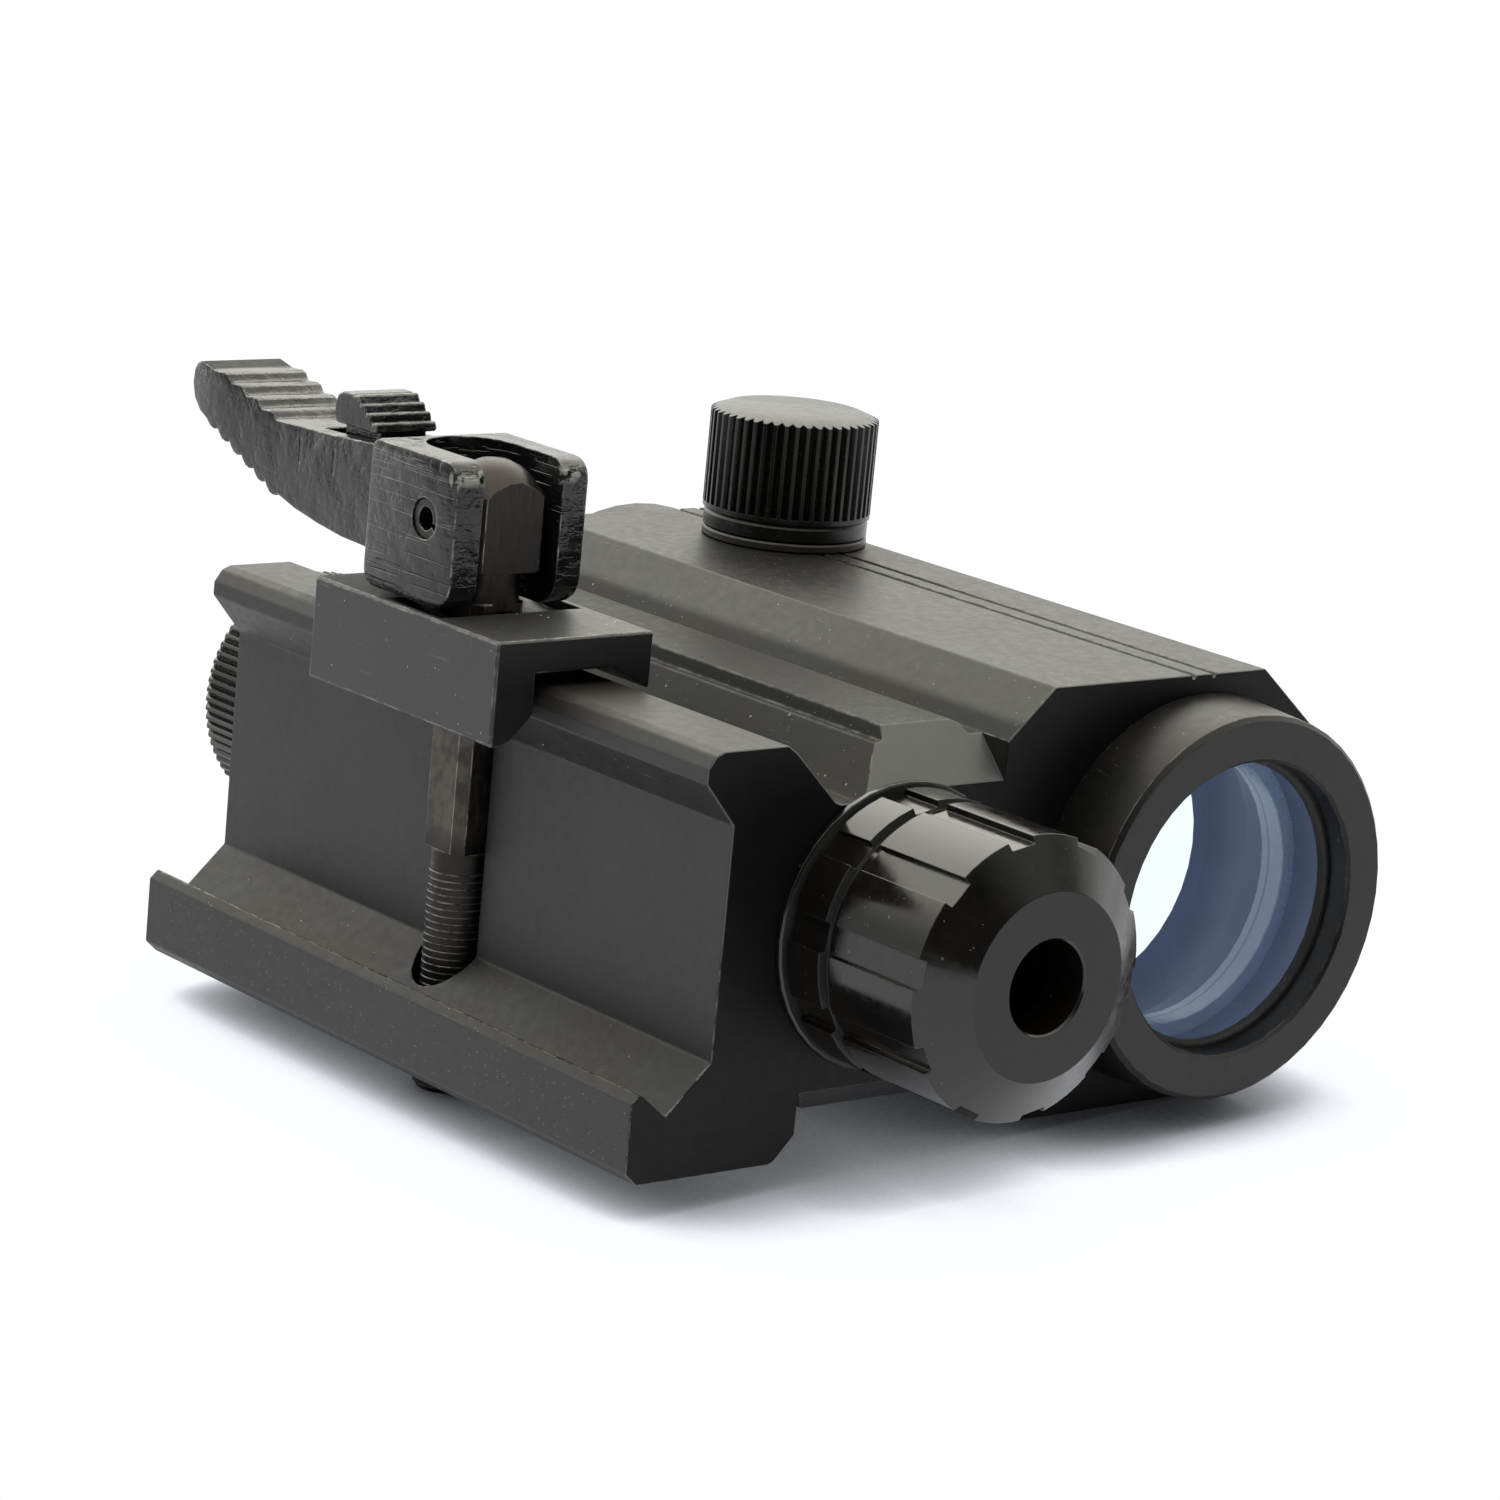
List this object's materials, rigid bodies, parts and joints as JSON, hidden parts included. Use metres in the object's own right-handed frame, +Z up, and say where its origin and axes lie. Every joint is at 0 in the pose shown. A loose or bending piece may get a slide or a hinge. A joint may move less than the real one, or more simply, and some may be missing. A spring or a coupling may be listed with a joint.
{
  "type": "compact red dot sight with laser and rail clamp",
  "caption": "Compact tube red dot sight with a laser pointer slung under the tube and a cam-lever clamp for an accessory rail.",
  "frame": {"origin": "middle of the rail seat's front pad, on the flat face that rests on the rail, under the optical axis", "axes": "+Y along the optical axis towards the objective end, +Z up away from the rail, +X towards the side with the clamp lever and the windage turret"},
  "size_m": [0.0461, 0.0842, 0.0708],
  "materials": {
    "black_anodised": "satin black anodised, worn on the edges",
    "gloss_black_anodised": "glossy black anodised",
    "black_cast": "glossy black over rough cast metal",
    "blackened_steel": "blackened steel, rubbed brown",
    "bright_steel": "bright",
    "brass": "machined",
    "coated_glass": "blue-coated glass",
    "black_plastic": "matt black",
    "board": "green solder mask",
    "cell_wrap": "plain grey sleeve",
    "rubber": "matt black",
    "red_led": "clear red"
  },
  "bodies": {
    "sight_body": {"housing": "black_anodised", "objective_bezel": "gloss_black_anodised", "objective_gasket": "rubber", "objective_window": "coated_glass", "objective_retainer": "gloss_black_anodised", "ocular_bezel": "gloss_black_anodised", "ocular_window": "coated_glass", "ocular_retainer": "gloss_black_anodised", "inner_tube": "black_anodised", "reflex_lens": "coated_glass", "emitter_holder": "black_plastic", "led_emitter": "red_led", "return_spring": "bright_steel", "windage_base": "gloss_black_anodised", "elevation_base": "gloss_black_anodised", "laser_collar": "gloss_black_anodised", "laser_barrel": "brass", "collimating_lens": "coated_glass", "laser_diode": "bright_steel", "driver_board": "board", "contact_spring": "bright_steel", "battery_cell": "cell_wrap", "cross_bolt": "blackened_steel"},
    "lever": {"cam_lever": "black_cast", "pivot_pin": "blackened_steel"},
    "tab": {"release_tab": "black_cast"},
    "jaw_block": {"clamp_block": "black_anodised"},
    "nut": {"bolt_nut": "blackened_steel"},
    "windage_cover": {"windage_cap": "gloss_black_anodised"},
    "windage_adjuster": {"windage_screw": "blackened_steel"},
    "elevation_cover": {"elevation_cap": "gloss_black_anodised"},
    "elevation_adjuster": {"elevation_screw": "blackened_steel"},
    "laser_front": {"laser_bezel": "gloss_black_anodised"},
    "battery_cover": {"battery_cap": "gloss_black_anodised"}
  },
  "joints": [
    {"name": "lever_swing", "type": "hinge", "parent": "sight_body", "child": "lever", "pos_m": [0.0223, -0.0143, 0.0002], "axis": [0, 0, 1], "range_deg": [0, 95]},
    {"name": "block_release", "type": "slide", "parent": "sight_body", "child": "jaw_block", "axis": [1, 0, 0], "range_m": [0, 0.0013]},
    {"name": "tab_press", "type": "slide", "parent": "lever", "child": "tab", "axis": [0, -1, 0], "range_m": [0, 0.0016]},
    {"name": "nut_turn", "type": "hinge", "parent": "sight_body", "child": "nut", "pos_m": [-0.0143, -0.0143, 0.0002], "axis": [-1, 0, 0], "continuous": true},
    {"name": "windage_cap_turn", "type": "hinge", "parent": "sight_body", "child": "windage_cover", "pos_m": [0.02, -0.0316, 0.0408], "axis": [1, 0, 0], "continuous": true},
    {"name": "windage_adjust", "type": "hinge", "parent": "sight_body", "child": "windage_adjuster", "pos_m": [0.016, -0.0316, 0.0408], "axis": [1, 0, 0], "continuous": true},
    {"name": "elevation_cap_turn", "type": "hinge", "parent": "sight_body", "child": "elevation_cover", "pos_m": [0, -0.0316, 0.06], "axis": [0, 0, 1], "continuous": true},
    {"name": "elevation_adjust", "type": "hinge", "parent": "sight_body", "child": "elevation_adjuster", "pos_m": [0, -0.0316, 0.056], "axis": [0, 0, 1], "continuous": true},
    {"name": "laser_bezel_turn", "type": "hinge", "parent": "sight_body", "child": "laser_front", "pos_m": [0, 0.0217, 0.01424], "axis": [0, 1, 0], "continuous": true},
    {"name": "battery_cap_turn", "type": "hinge", "parent": "sight_body", "child": "battery_cover", "pos_m": [0, -0.0493, 0.01424], "axis": [0, -1, 0], "continuous": true}
  ],
  "couplings": [
    {"joint": "block_release", "follows": "lever_swing", "m_per_rad": 0.00078}
  ]
}
